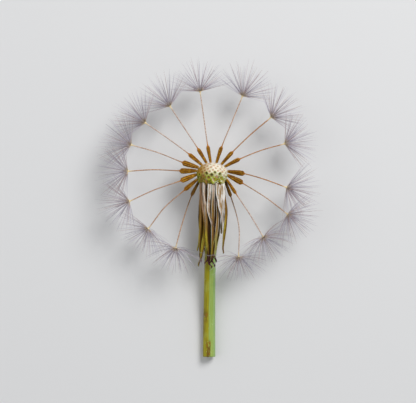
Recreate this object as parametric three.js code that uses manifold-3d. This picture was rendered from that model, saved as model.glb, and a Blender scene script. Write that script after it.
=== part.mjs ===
// A dandelion seed head, picked with a length of stem and lying on a flat surface.
// One ring of fifteen seeds is left on the receptacle. Each seed is an achene with a long beak, which carries
// a plume of hairs. The dry bracts hang back along the stem, and the stem is a hollow tube.
// Millimetres. The head points along +Y, +Z is up from the surface, and the ring of seeds lies level.
import * as THREE from "three";
import { ConvexGeometry } from "three/addons/geometries/ConvexGeometry.js";
import { mergeVertices } from "three/addons/utils/BufferGeometryUtils.js";
import Module from "manifold-3d";

const wasm = await Module();
wasm.setup();

// ---- Driving dimensions. Places are measured from the middle of the receptacle. ----

const ringHeight = 7.9; // from the surface up to the plane of the ring of seeds
const touchGap = 0.06; // between pieces that meet
const floorZ = -ringHeight;

const receptacle = {
  radius: 3.55,
  top: 2.32, // height of the dome above its widest level
  taper: 3.7, // half height that the dome would have below that level if it weren't cut off by its foot
  foot: 2.15,
  pitCount: 104, // scars of the seeds that have gone, from the top down to the foot
  pitRadius: 0.24,
  pitDepth: 0.26,
  pitSides: 5,
};

const stem = {
  radiusTop: 1.22,
  radiusEnd: 1.52,
  wall: 0.42,
  end: -43.2, // where the stem is cut
  hollowTop: -6.0,
  drift: -0.7, // how far the cut end stands to the left of the receptacle
  flatShare: 0.1, // share of the length that lies flat on the surface
  sides: 14,
  rings: 15,
  hollowRings: 11,
};

const bract = {
  thickness: 0.6,
  channel: 0.22, // how far the edges stand out from the midrib
  collarInner: 1.5,
  collarOuter: 2.8,
  collarTop: -2.22,
  collarFoot: -3.1,
  rings: 9,
  tipWidth: 0.6,
};

// One row for each bract. around: degrees round the stem from straight up, towards +X. reach: its length.
// out: distance from the stem's axis at the foot, the middle and the tip. curl: how far the tip turns out.
// swing: degrees that it has gone round the stem by the middle and by the tip.
// narrow: share of the length from which it narrows to its tip.
const bracts = [
  { around: -68, width: 1, reach: 18.2, out: [2.7, 2.7, 2.7], swing: [2, 10], curl: 0.2, narrow: 0.7 },
  { around: -56, width: 0.95, reach: 19.2, out: [2.75, 2.6, 2.8], swing: [24, 8], curl: 0.3, narrow: 0.7 },
  { around: -41, width: 0.8, reach: 18.6, out: [2.85, 2.65, 2.4], swing: [19, 30], curl: 0.2, narrow: 0.7 },
  { around: -24, width: 1, reach: 19.6, out: [2.6, 2.3, 2.2], swing: [12, 16], curl: 0.3, narrow: 0.8 },
  { around: -10, width: 0.9, reach: 10.6, out: [2.85, 2.75, 2.6], swing: [-2, 20], curl: 0, narrow: 0.4 },
  { around: 8, width: 0.8, reach: 19.4, out: [2.75, 2.6, 2.3], swing: [2, 0], curl: 0.4, narrow: 0.8 },
  { around: 18, width: 0.9, reach: 18.8, out: [2.55, 2.3, 2.1], swing: [4, -6], curl: 0.3, narrow: 0.8 },
  { around: 30, width: 0.9, reach: 18.2, out: [2.6, 2.5, 2.2], swing: [6, -13], curl: 0.3, narrow: 0.8 },
  { around: 40, width: 2.8, reach: 11.2, out: [2.8, 2.85, 3.1], swing: [10, 28], curl: 0, narrow: 0.25 },
  { around: 68, width: 1, reach: 16.2, out: [2.75, 3.5, 3], swing: [14, -2], curl: 0, narrow: 0.7 },
  { around: 103, width: 1.3, reach: 11.6, out: [2.7, 2.7, 2.6], swing: [-4, 8], curl: 0.3, narrow: 0.6 },
  { around: 128, width: 1.4, reach: 17.6, out: [2.85, 2.7, 2.4], swing: [6, 12], curl: 0.4, narrow: 0.6 },
  { around: 154, width: 1.3, reach: 16.6, out: [2.85, 2.6, 2.3], swing: [-6, 6], curl: 0.4, narrow: 0.6 },
  { around: 180, width: 1.4, reach: 18, out: [2.85, 2.6, 2.3], swing: [6, -8], curl: 0.5, narrow: 0.6 },
  { around: 207, width: 1.3, reach: 15.8, out: [2.85, 2.7, 2.4], swing: [-4, 10], curl: 0.3, narrow: 0.6 },
  { around: 233, width: 1.4, reach: 17.2, out: [2.85, 2.7, 2.5], swing: [6, -6], curl: 0.4, narrow: 0.6 },
  { around: 262, width: 1.2, reach: 15.6, out: [2.7, 2.7, 2.6], swing: [-6, 6], curl: 0.3, narrow: 0.6 },
];

const achene = {
  length: 3.95,
  halfWidth: 0.6,
  flatness: 0.58, // thickness over width
  ribHeight: 0.14, // share that each rib stands out
  beakRadius: 0.14,
  sides: 8,
  beakRings: 6,
};

const plume = {
  hubRadius: 0.36,
  hairLength: 8.8,
  shortest: 0.8, // share of the full length
  bendAt: 0.55, // share of a hair's length
  bendWidth: 0.62, // share of its width at the root
  hubOpen: 101, // degrees from the axis down to which the hub grows hairs
  hairGap: 0.28, // least distance between the middles of two hairs
  freeFrom: 0.4, // share of the way to the bend from which hairs of one plume keep that distance
  beakGap: 0.5, // least distance between the middles of a hair and a beak
  bractsReach: 4.0, // radius round the stem that the bracts need
  bractsEnd: -25, // how far down the stem they need it
  stemReach: 2.1, // radius that the stem needs below them
  loosest: [4, 34], // degrees that a hair may stray on the first try and on the last
  tries: 90,
  lastLength: 0.45, // share of its length that a hair keeps where only the last try leaves it clear
};

// One row for each seed, clockwise from the top of the ring.
// root: degrees round the dome's outline from its top, and degrees that it stands below the level ring.
// lean: degrees of the achene from straight up the head.
// roll: degrees that the flat achene is turned. bow: how far the beak bows out sideways, clockwise.
// hub: the middle of the plume.
// hairs: degrees from the plume's axis to its outermost ones, how far they bend away from the axis, or below 0
// towards it, and the length of those along the axis, to that of the outermost.
const seeds = [
  { root: [-5, 0], lean: -10, roll: 72, bow: 0, hub: [-2.8, 18.9, 0.5], hairs: [84, 0.3, 0.95] },
  { root: [16, 0], lean: 18, roll: 66, bow: 0, hub: [7.1, 17.9, -0.5], hairs: [80, 0.2, 1.05] },
  { root: [36, 0], lean: 42, roll: 64, bow: -0.2, hub: [13.7, 12.9, 0.6], hairs: [76, 0.2, 1] },
  { root: [53, 0], lean: 63, roll: 60, bow: -0.3, hub: [16.9, 6.8, -0.6], hairs: [74, 0.3, 0.95] },
  { root: [81, 0], lean: 98, roll: 28, bow: -0.2, hub: [17.3, -3.4, 0.6], hairs: [82, -0.2, 0.95] },
  { root: [98, 0], lean: 118, roll: 8, bow: -0.3, hub: [17.6, -9.6, -0.7], hairs: [92, -0.7, 0.85] },
  { root: [112, 0], lean: 147, roll: 88, bow: -0.15, hub: [11.9, -14.9, 0.6], hairs: [108, -1.6, 0.76] },
  { root: [118, 18], lean: 160, roll: 88, bow: -0.95, hub: [6.2, -19.6, -0.4], hairs: [112, -1.7, 0.63] },
  { root: [-119, 18], lean: -153, roll: 80, bow: 0.2, hub: [-8.5, -17.5, 0.4], hairs: [109, -1.9, 0.68] },
  { root: [-112, 0], lean: -130, roll: 50, bow: 0.6, hub: [-14.9, -13.0, -0.6], hairs: [98, -0.9, 0.7] },
  { root: [-95, 0], lean: -112, roll: 10, bow: 0.3, hub: [-19.2, -6.6, 0.6], hairs: [84, -0.2, 0.92] },
  { root: [-78, 0], lean: -90, roll: 5, bow: 0.3, hub: [-19.6, 0.4, -0.5], hairs: [82, 0.3, 0.95] },
  { root: [-59, 0], lean: -72, roll: 12, bow: 0.3, hub: [-18.8, 6.5, 0.6], hairs: [78, 0.2, 0.97] },
  { root: [-40, 0], lean: -50, roll: 58, bow: 0.1, hub: [-15.6, 11.7, -0.6], hairs: [76, 0.2, 1] },
  { root: [-20, 0], lean: -31, roll: 68, bow: 0, hub: [-9.8, 15.5, 0.5], hairs: [76, 0.2, 1] },
];
const restingSeeds = [3, 12]; // rows of the seeds that the head lies on, together with the end of its stem

const colours = {
  stem: { color: 0x8ea64a, roughness: 0.45, metalness: 0 },
  receptacle: { color: 0xdcd8b8, roughness: 0.7, metalness: 0 },
  bracts: { color: 0xb8a878, roughness: 0.75, metalness: 0 },
  achene: { color: 0xa8742a, roughness: 0.6, metalness: 0 },
  plume: { color: 0xd8d2d8, roughness: 0.8, metalness: 0 },
};

// ---- Helpers ----

const radians = THREE.MathUtils.degToRad;
const vector = (x, y, z) => new THREE.Vector3(x, y, z);

// Numbers from 0 to 1 that are the same on every run.
function seededRandom(seed) {
  let state = seed >>> 0;
  return () => {
    state = (state + 0x6d2b79f5) >>> 0;
    let mixed = Math.imul(state ^ (state >>> 15), state | 1);
    mixed ^= mixed + Math.imul(mixed ^ (mixed >>> 7), mixed | 61);
    return ((mixed ^ (mixed >>> 14)) >>> 0) / 2 ** 32;
  };
}

// A closed body through rings of points, each going the same way round, with a flat cap on both ends.
function loft(rings) {
  const sides = rings[0].length;
  const points = rings.flat();
  const faces = [];
  for (let ring = 0; ring < rings.length - 1; ring++) {
    for (let side = 0; side < sides; side++) {
      const here = ring * sides + side;
      const next = ring * sides + ((side + 1) % sides);
      faces.push(here, next, next + sides, here, next + sides, here + sides);
    }
  }
  const last = (rings.length - 1) * sides;
  for (let side = 1; side < sides - 1; side++) {
    faces.push(0, side + 1, side, last, last + side, last + side + 1);
  }
  return new THREE.BufferGeometry().setFromPoints(points).setIndex(faces);
}

// An outline set square across a line that goes ahead from a point, with its second axis up.
function placeAcross(outline, middle, ahead) {
  const across = vector(0, 0, 1).cross(ahead).normalize();
  const up = ahead.clone().cross(across);
  return outline.map(({ x, y }) => middle.clone().addScaledVector(across, x).addScaledVector(up, y));
}

function toSolid(geometry) {
  const bare = geometry.clone();
  bare.deleteAttribute("normal");
  bare.deleteAttribute("uv");
  const merged = mergeVertices(bare, 1e-4);
  const mesh = new wasm.Mesh({
    numProp: 3,
    vertProperties: merged.attributes.position.array,
    triVerts: new Uint32Array(merged.index.array),
  });
  return new wasm.Manifold(mesh);
}

function fromSolid(solid) {
  const { vertProperties, triVerts } = solid.getMesh();
  return new THREE.BufferGeometry()
    .setAttribute("position", new THREE.BufferAttribute(vertProperties, 3))
    .setIndex(new THREE.BufferAttribute(triVerts, 1));
}

const piece = (name, geometry, colour) => {
  const mesh = new THREE.Mesh(geometry, new THREE.MeshStandardMaterial(colours[colour]));
  mesh.name = name;
  return mesh;
};

// ---- Receptacle: a dome covered in pits, in the spiral order in which the seeds grew ----

// A point of the dome. fall: degrees down from its top. around: degrees round its axis from +Z towards +X.
function domePoint(fall, around, depth = 0) {
  const height = Math.cos(radians(fall)) > 0 ? receptacle.top : receptacle.taper;
  const level = Math.sin(radians(fall)) * (receptacle.radius - depth);
  return vector(
    level * Math.sin(radians(around)),
    (height - depth) * Math.cos(radians(fall)),
    level * Math.cos(radians(around)),
  );
}

const footFall = 180 - THREE.MathUtils.radToDeg(Math.acos(receptacle.foot / receptacle.taper));
const goldenAngle = 180 * (3 - Math.sqrt(5));

function seedRoot({ root: [fall, below] }) {
  return domePoint(Math.abs(fall), Math.sign(fall) * (90 + below));
}

function pitPlaces() {
  const roots = seeds.map(seedRoot);
  const places = [];
  const lowest = Math.cos(radians(footFall - 7));
  for (let pit = 0; pit < receptacle.pitCount; pit++) {
    const share = (pit + 0.5) / receptacle.pitCount;
    const fall = THREE.MathUtils.radToDeg(Math.acos(1 - share * (1 - lowest)));
    const around = pit * goldenAngle;
    const middle = domePoint(fall, around);
    const free = roots.every((root) => root.distanceTo(middle) > 2.4 * receptacle.pitRadius);
    if (free) places.push({ fall, around, middle });
  }
  return places;
}

function receptacleGeometry() {
  const pits = pitPlaces();
  const rims = pits.flatMap(({ fall, around, middle }) => {
    const outward = middle.clone().multiply(vector(1, (receptacle.radius / receptacle.top) ** 2, 1));
    const across = vector(0, 1, 0).cross(outward).normalize();
    const along = outward.clone().cross(across).normalize();
    return Array.from({ length: receptacle.pitSides }, (_, corner) => {
      const turn = (2 * Math.PI * corner) / receptacle.pitSides;
      const spot = middle
        .clone()
        .addScaledVector(across, receptacle.pitRadius * Math.cos(turn))
        .addScaledVector(along, receptacle.pitRadius * Math.sin(turn));
      return ontoDome(spot);
    });
  });
  const footRing = Array.from({ length: 24 }, (_, step) => domePoint(footFall, 15 * step));
  const skin = new ConvexGeometry([...pits.map((pit) => pit.middle), ...rims, ...footRing]);
  const position = skin.getAttribute("position");
  const corner = new THREE.Vector3();
  for (let index = 0; index < position.count; index++) {
    corner.fromBufferAttribute(position, index);
    const pit = pits.find(({ middle }) => middle.distanceTo(corner) < 1e-4);
    if (pit) position.setXYZ(index, ...domePoint(pit.fall, pit.around, receptacle.pitDepth).toArray());
  }
  return skin;
}

// The point of the dome straight out from its middle through a spot near it.
function ontoDome(spot) {
  const height = spot.y > 0 ? receptacle.top : receptacle.taper;
  const level = Math.hypot(spot.x, spot.z) / receptacle.radius;
  return spot.clone().divideScalar(Math.hypot(level, spot.y / height));
}

// ---- Stem: a hollow tube that comes down from the head and lies on the surface at its cut end ----

// Share of the way down the stem for a place along the head's axis.
const stemShare = (y) => THREE.MathUtils.clamp(y / stem.end, 0, 1);
const stemRadius = (y) => THREE.MathUtils.lerp(stem.radiusTop, stem.radiusEnd, stemShare(y));

function stemMiddle(y) {
  const share = stemShare(y);
  const fall = THREE.MathUtils.smoothstep(share, 0, 1 - stem.flatShare);
  const restHeight = floorZ + stem.radiusEnd * Math.cos(Math.PI / stem.sides);
  return vector(stem.drift * Math.sin((share * Math.PI) / 2), y, restHeight * fall);
}

// A ring round the stem's axis, with one flat side facing straight down.
function stemRing(y, radius) {
  const ahead = stemMiddle(y - 0.05).sub(stemMiddle(y + 0.05)).normalize();
  const outline = Array.from({ length: stem.sides }, (_, side) => {
    const turn = (2 * Math.PI * (side + 0.5)) / stem.sides - Math.PI / 2;
    return new THREE.Vector2(radius * Math.cos(turn), radius * Math.sin(turn));
  });
  return placeAcross(outline, stemMiddle(y), ahead);
}

function stemGeometry() {
  const top = -receptacle.foot - touchGap;
  const levels = (from, to, count) =>
    Array.from({ length: count }, (_, step) => THREE.MathUtils.lerp(from, to, step / (count - 1)));
  const outside = levels(top, stem.end, stem.rings).map((y) => stemRing(y, stemRadius(y)));
  const inside = levels(stem.end, stem.hollowTop, stem.hollowRings);
  return loft([...outside, ...inside.map((y) => stemRing(y, stemRadius(y) - stem.wall))]);
}

// ---- Bracts: dry straps with raised edges, joined at their feet by a collar round the stem ----

// Eased value at a share of the way through three values, for the start, the middle and the end.
function through([start, middle, end], share) {
  const ease = THREE.MathUtils.smoothstep;
  const { lerp } = THREE.MathUtils;
  return share < 0.5 ? lerp(start, middle, ease(share, 0, 0.5)) : lerp(middle, end, ease(share, 0.5, 1));
}

function bractGeometry(row) {
  const foot = (bract.collarTop + bract.collarFoot) / 2;
  const rings = [];
  for (let step = 0; step < bract.rings; step++) {
    const share = step / (bract.rings - 1);
    const wave = 0.12 * Math.min(1, 3 * share) * Math.sin(9 * share + row.around);
    const curl = row.curl * THREE.MathUtils.smoothstep(share, 0.8, 1);
    const distance = through(row.out, share) + wave + curl;
    const around = radians(row.around + through([0, ...row.swing], share));
    const outward = vector(Math.sin(around), 0, Math.cos(around));
    const across = vector(Math.cos(around), 0, -Math.sin(around));
    const middle = stemMiddle(foot - share * row.reach).addScaledVector(outward, distance);
    const narrowed = THREE.MathUtils.smoothstep(share, row.narrow, 1);
    const half = THREE.MathUtils.lerp(row.width, bract.tipWidth, narrowed) / 2;
    const channel = bract.channel * Math.min(1 - 0.5 * narrowed, THREE.MathUtils.smoothstep(share, 0, 0.3));
    const [edgeOut, edgeIn] = [1, -1].map((side) => channel + (side * bract.thickness) / 2);
    const section = [
      [-half, edgeIn],
      [0, -bract.thickness / 2],
      [half, edgeIn],
      [half, edgeOut],
      [0, bract.thickness / 2],
      [-half, edgeOut],
    ];
    const place = ([x, y]) => middle.clone().addScaledVector(across, x).addScaledVector(outward, y);
    rings.push(section.map(place));
  }
  return loft(rings);
}

function bractsGeometry() {
  const { collarInner: inner, collarOuter: outer, collarTop: top, collarFoot: foot } = bract;
  const profile = [
    [inner, top],
    [inner, foot],
    [outer, foot],
    [outer, top],
    [inner, top],
  ].map(([x, y]) => new THREE.Vector2(x, y));
  const collar = toSolid(new THREE.LatheGeometry(profile, 24));
  const straps = bracts.map((row) => toSolid(bractGeometry(row)));
  return fromSolid(straps.reduce((joined, strap) => joined.add(strap), collar));
}

// ---- Seeds ----

// The line of an achene and its beak, from the dome to just under the plume's hub.
function seedLine(seed) {
  const lean = vector(Math.sin(radians(seed.lean)), Math.cos(radians(seed.lean)), 0);
  const hub = vector(...seed.hub);
  const root = seedRoot(seed).addScaledVector(lean, 2 * touchGap);
  const shoulder = root.clone().addScaledVector(lean, achene.length);
  shoulder.z = 0.2 * hub.z;
  const run = hub.clone().sub(shoulder);
  const sideways = vector(run.y, -run.x, 0).normalize();
  const middle = shoulder.clone().addScaledVector(run, 0.5).addScaledVector(sideways, seed.bow);
  const end = hub.clone().addScaledVector(run.normalize(), -plume.hubRadius - touchGap);
  return new THREE.CatmullRomCurve3([root, shoulder, middle, end], false, "centripetal");
}

// Rings of an achene: [share of its length, share of its half width, share of the ribs' height, roundness].
// The ribs end in teeth at the shoulder.
const acheneRings = [
  [0.0, 0.5, 0, 0.6],
  [0.12, 0.67, 0.4, 0.4],
  [0.38, 0.88, 1, 0.1],
  [0.64, 1.0, 1, 0],
  [0.84, 0.96, 1.6, 0],
  [0.91, 0.76, 2.6, 0.1],
  [0.95, 0.42, 1, 0.5],
  [1.0, 0.26, 0, 1],
];

function seedRing(line, distance, halfWidth, halfThickness, rib, roll) {
  const share = THREE.MathUtils.clamp(distance / line.getLength(), 0, 1);
  const outline = Array.from({ length: achene.sides }, (_, side) => {
    const turn = (2 * Math.PI * side) / achene.sides;
    const out = side % 2 ? 1 + rib : 1;
    const corner = new THREE.Vector2(halfWidth * out * Math.cos(turn), halfThickness * out * Math.sin(turn));
    return corner.rotateAround(new THREE.Vector2(), radians(roll));
  });
  return placeAcross(outline, line.getPointAt(share), line.getTangentAt(share));
}

function acheneGeometry(seed) {
  const line = seedLine(seed);
  const body = acheneRings.map(([share, width, rib, round]) => {
    const half = achene.halfWidth * width;
    const thick = half * THREE.MathUtils.lerp(achene.flatness, 1, round);
    return seedRing(line, share * achene.length, half, thick, rib * achene.ribHeight, seed.roll);
  });
  const beakStart = achene.length + 0.5;
  const beak = Array.from({ length: achene.beakRings }, (_, step) => {
    const distance = THREE.MathUtils.lerp(beakStart, line.getLength(), step / (achene.beakRings - 1));
    return seedRing(line, distance, achene.beakRadius, achene.beakRadius, 0, seed.roll);
  });
  return loft([...body, ...beak]);
}

// ---- Plumes: each face on the open side of a small hub grows into one three-sided hair ----

const hairs = []; // { number, points } of every hair so far: the seed's number, and its root, bend and tip
const beakLines = seeds.map((seed) => seedLine(seed).getPoints(12));

// Least distance between two straight stretches, from a to b and from c to d.
function gapBetween(a, b, c, d) {
  const { clamp } = THREE.MathUtils;
  const u = b.clone().sub(a);
  const v = d.clone().sub(c);
  const w = a.clone().sub(c);
  const spread = u.lengthSq() * v.lengthSq() - u.dot(v) ** 2;
  const crossing = u.dot(v) * v.dot(w) - v.lengthSq() * u.dot(w);
  const first = spread > 1e-9 ? clamp(crossing / spread, 0, 1) : 0;
  const second = clamp((u.dot(v) * first + v.dot(w)) / v.lengthSq(), 0, 1);
  const again = clamp((u.dot(v) * second - u.dot(w)) / u.lengthSq(), 0, 1);
  return a.clone().addScaledVector(u, again).distanceTo(c.clone().addScaledVector(v, second));
}

// Least distance between two lines of points.
function gapBetweenLines(first, second) {
  let least = Infinity;
  for (let i = 1; i < first.length; i++) {
    for (let j = 1; j < second.length; j++) {
      least = Math.min(least, gapBetween(first[i - 1], first[i], second[j - 1], second[j]));
    }
  }
  return least;
}

// Whether a hair keeps off the surface, the stem with its bracts, the other beaks and the other hairs.
function isClear(points, number) {
  const [root, bend, tip] = points;
  for (const spot of [bend, tip, bend.clone().lerp(tip, 0.5)]) {
    const middle = stemMiddle(spot.y);
    const reach = spot.y < plume.bractsEnd ? plume.stemReach : plume.bractsReach;
    if (spot.z < floorZ) return false;
    if (spot.y < 0 && Math.hypot(spot.x - middle.x, spot.z - middle.z) < reach) return false;
  }
  const isNearBeak = beakLines.some(
    (line, other) => other !== number && gapBetweenLines(points, line) < plume.beakGap,
  );
  if (isNearBeak) return false;
  const free = [root.clone().lerp(bend, plume.freeFrom), bend, tip];
  return hairs.every((hair) => {
    const own = hair.number === number;
    const otherFree = [hair.points[0].clone().lerp(hair.points[1], plume.freeFrom), ...hair.points.slice(1)];
    return gapBetweenLines(own ? free : points, own ? otherFree : hair.points) > plume.hairGap;
  });
}

// The root, bend and tip of a hair that grows out of a face of the hub, strayed until it is clear.
function hairPoints(root, hub, axis, seed, number, isLowest, random) {
  const [open, curl, crown] = seed.hairs;
  const fall = THREE.MathUtils.radToDeg(root.angleTo(axis));
  const outward = root.clone().addScaledVector(axis, -root.dot(axis)).normalize();
  const share = THREE.MathUtils.lerp(crown, 1, Math.min(1, fall / 90));
  const fullLength = plume.hairLength * share * THREE.MathUtils.lerp(plume.shortest, 1, random());
  let points;
  for (let attempt = 0; attempt < plume.tries; attempt++) {
    const loose = plume.loosest[0] + (plume.loosest[1] - plume.loosest[0]) * (attempt / plume.tries);
    const length = fullLength * THREE.MathUtils.lerp(1, plume.lastLength, (attempt / plume.tries) ** 2);
    const angle = radians((fall * open) / plume.hubOpen + loose * (random() - 0.5));
    const sideways = outward.clone().applyAxisAngle(axis, radians(1.5 * loose) * (random() - 0.5));
    const way = axis.clone().multiplyScalar(Math.cos(angle)).addScaledVector(sideways, Math.sin(angle));
    const bend = root.clone().addScaledVector(way, plume.bendAt * length);
    const tip = way.clone().multiplyScalar(length);
    tip.addScaledVector(axis, -curl * Math.sin(angle)).setLength(length).add(hub);
    tip.z = Math.max(tip.z, floorZ + 0.15 + 0.3 * random());
    if (isLowest) tip.z = floorZ;
    points = [root.clone().add(hub), bend.add(hub), tip];
    if (isClear(points, number)) break;
  }
  return points;
}

function plumeGeometry(seed, number) {
  const random = seededRandom(101 + 17 * number);
  const hub = vector(...seed.hub);
  const axis = seedLine(seed).getTangentAt(1);
  const turn = new THREE.Quaternion()
    .setFromUnitVectors(vector(0, 0, 1), axis)
    .multiply(new THREE.Quaternion().setFromAxisAngle(vector(0, 0, 1), 2 * Math.PI * random()));
  const sphere = new THREE.IcosahedronGeometry(plume.hubRadius, 1).getAttribute("position");
  const faces = [];
  for (let index = 0; index < sphere.count; index += 3) {
    const corners = [0, 1, 2].map((i) => vector(0, 0, 0).fromBufferAttribute(sphere, index + i));
    corners.forEach((corner) => corner.applyQuaternion(turn));
    const middle = corners[0].clone().add(corners[1]).add(corners[2]).divideScalar(3);
    faces.push({ corners, middle, isOpen: middle.angleTo(axis) < radians(plume.hubOpen) });
  }
  const open = faces.filter((face) => face.isOpen);
  const lowest = open.reduce((low, face) => (face.middle.z < low.middle.z ? face : low));
  const closed = faces.filter((face) => !face.isOpen);
  const skin = closed.flatMap(({ corners }) => corners.map((spot) => spot.add(hub)));
  for (const face of open) {
    const isLowest = face === lowest && restingSeeds.includes(number);
    const points = hairPoints(face.middle, hub, axis, seed, number, isLowest, random);
    hairs.push({ number, points });
    const foot = face.corners.map((corner) => corner.clone().add(hub));
    const ring = face.corners.map((corner) => {
      return corner.clone().sub(face.middle).multiplyScalar(plume.bendWidth).add(points[1]);
    });
    for (let side = 0; side < 3; side++) {
      const next = (side + 1) % 3;
      skin.push(foot[side], foot[next], ring[next], foot[side], ring[next], ring[side]);
      skin.push(ring[side], ring[next], points[2]);
    }
  }
  return new THREE.BufferGeometry().setFromPoints(skin);
}

// ---- The seed head ----

const head = new THREE.Group();
head.add(piece("receptacle", receptacleGeometry(), "receptacle"));
head.add(piece("stem", stemGeometry(), "stem"));
head.add(piece("bracts", bractsGeometry(), "bracts"));
seeds.forEach((seed, number) => {
  const label = String(number + 1).padStart(2, "0");
  head.add(piece(`seed_${label}_achene`, acheneGeometry(seed), "achene"));
  head.add(piece(`seed_${label}_plume`, plumeGeometry(seed, number), "plume"));
});

// The frame's origin is on the surface, below the middle of the whole head.
const box = new THREE.Box3().setFromObject(head);
const middle = box.getCenter(new THREE.Vector3());
head.position.set(-middle.x, -middle.y, -box.min.z);

export default head;
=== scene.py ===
import random
from math import acos, copysign, cos, degrees, exp, hypot, pi, radians, sin, sqrt

import bpy
from mathutils import Matrix, Vector, noise
from mathutils.kdtree import KDTree


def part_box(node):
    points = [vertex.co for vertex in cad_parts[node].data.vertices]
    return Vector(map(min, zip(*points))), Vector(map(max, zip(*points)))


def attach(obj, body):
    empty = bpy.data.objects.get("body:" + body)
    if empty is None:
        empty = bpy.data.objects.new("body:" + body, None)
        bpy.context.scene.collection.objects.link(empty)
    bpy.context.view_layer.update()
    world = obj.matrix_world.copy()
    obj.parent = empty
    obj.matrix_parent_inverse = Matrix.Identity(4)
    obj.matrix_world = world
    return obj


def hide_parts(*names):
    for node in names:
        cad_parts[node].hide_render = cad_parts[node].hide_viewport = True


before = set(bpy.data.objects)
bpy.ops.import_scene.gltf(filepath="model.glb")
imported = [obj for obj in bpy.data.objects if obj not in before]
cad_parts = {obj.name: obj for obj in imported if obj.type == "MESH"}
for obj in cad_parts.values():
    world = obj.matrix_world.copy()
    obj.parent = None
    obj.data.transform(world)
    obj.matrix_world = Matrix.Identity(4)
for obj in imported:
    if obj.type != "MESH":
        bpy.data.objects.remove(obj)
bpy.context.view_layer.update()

mm = 0.001
goldenTurn = pi * (3 - sqrt(5))

# What all pieces share, in millimetres from the middle of the dome.
head = {
    "ringHeight": 7.9,  # the ring of seeds above the surface
    "domeRadius": 3.55,
    "domeTop": 2.32,
    "domeTaper": 3.7,  # depth below the widest level, if it weren't cut at the foot
    "domeFoot": 2.15,
    "floorRoom": 0.09,  # hairs stay this far above the surface
}
domeLow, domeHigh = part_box("receptacle")
headCentre = Vector((
    (domeLow.x + domeHigh.x) / 2,
    domeHigh.y - head["domeTop"] * mm,
    head["ringHeight"] * mm,
))
floorLevel = -head["ringHeight"]


def mix(first, last, share):
    return first + (last - first) * share


def clamp(value):
    return max(0.0, min(1.0, value))


def ease(value, low=0.0, high=1.0):
    share = clamp((value - low) / (high - low))
    return share * share * (3 - 2 * share)


def alongStops(stops, share):  # eased between stops of (share, value)
    for (low, first), (high, last) in zip(stops, stops[1:]):
        if share <= high:
            return mix(first, last, ease(share, low, high))
    return stops[-1][1]


def through(values, share):  # eased from a start value to a middle one and on to an end one
    return alongStops(list(zip((0, 0.5, 1), values)), share)


def wobble(x, y=0.0, z=0.0):  # smooth noise, about -1 to 1
    return noise.noise(Vector((x, y, z)))


# the two directions square to a line, the second as far up as can be
def squareTo(ahead, up=Vector((0, 0, 1))):
    side = up.cross(ahead).normalized()
    return side, ahead.cross(side)


def turns(sides):  # the angles of a ring's points
    return [2 * pi * step / sides for step in range(sides)]


# closes rings of points that each go round clockwise, seen along the way they follow
def ringFaces(rings, sides):
    faces = [
        (ring * sides + side, ring * sides + (side + 1) % sides,
         (ring + 1) * sides + (side + 1) % sides, (ring + 1) * sides + side)
        for ring in range(rings - 1) for side in range(sides)
    ]
    faces.append(tuple(reversed(range(sides))))
    faces.append(tuple(range((rings - 1) * sides, rings * sides)))
    return faces


def addObject(name, data):
    made = bpy.data.objects.new(name, data)
    bpy.context.scene.collection.objects.link(made)
    return made


def tube(path, radii, sides):
    up = (path[-1] - path[0]).orthogonal()
    last = len(path) - 1
    points = []
    for index, (middle, radius) in enumerate(zip(path, radii)):
        ahead = (path[min(index + 1, last)] - path[max(index - 1, 0)]).normalized()
        side, top = squareTo(ahead, up)
        for turn in turns(sides):
            points.append(middle + side * radius * cos(turn) + top * radius * sin(turn))
    return points, ringFaces(len(path), sides)


def spike(foot, out, ahead, width, height, reach):  # a tooth with three sides that leans forward
    side = ahead.cross(out)
    points = [
        foot - side * width - ahead * width,
        foot + side * width - ahead * width,
        foot + ahead * 2 * width,
        foot + out * height + ahead * reach,
    ]
    return points, [(0, 1, 3), (1, 2, 3), (2, 0, 3), (0, 2, 1)]


class SmoothLine:  # a curve through points, read by the share of its length
    def __init__(self, points, steps=24):
        ends = [points[0] * 2 - points[1], *points, points[-1] * 2 - points[-2]]
        self.points = []
        for a, b, c, d in zip(ends, ends[1:], ends[2:], ends[3:]):
            self.points += [self.between(a, b, c, d, step / steps) for step in range(steps)]
        self.points.append(points[-1])
        self.reach = [0.0]
        for a, b in zip(self.points, self.points[1:]):
            self.reach.append(self.reach[-1] + (b - a).length)
        self.length = self.reach[-1]

    def between(self, a, b, c, d, share):
        first, middle, last = (sqrt((q - p).length) for p, q in ((a, b), (b, c), (c, d)))
        startPull = ((b - a) / first - (c - a) / (first + middle) + (c - b) / middle) * middle
        endPull = ((c - b) / middle - (d - b) / (middle + last) + (d - c) / last) * middle
        square, cube = share ** 2, share ** 3
        return (
            b * (2 * cube - 3 * square + 1) + startPull * (cube - 2 * square + share)
            + c * (3 * square - 2 * cube) + endPull * (cube - square)
        )

    def at(self, share):
        wanted = clamp(share) * self.length
        index = 1
        while index < len(self.reach) - 1 and self.reach[index] < wanted:
            index += 1
        stretch = self.reach[index] - self.reach[index - 1]
        part = (wanted - self.reach[index - 1]) / stretch
        return self.points[index - 1].lerp(self.points[index], part)

    def ahead(self, share):
        return (self.at(share + 0.01) - self.at(share - 0.01)).normalized()


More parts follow.
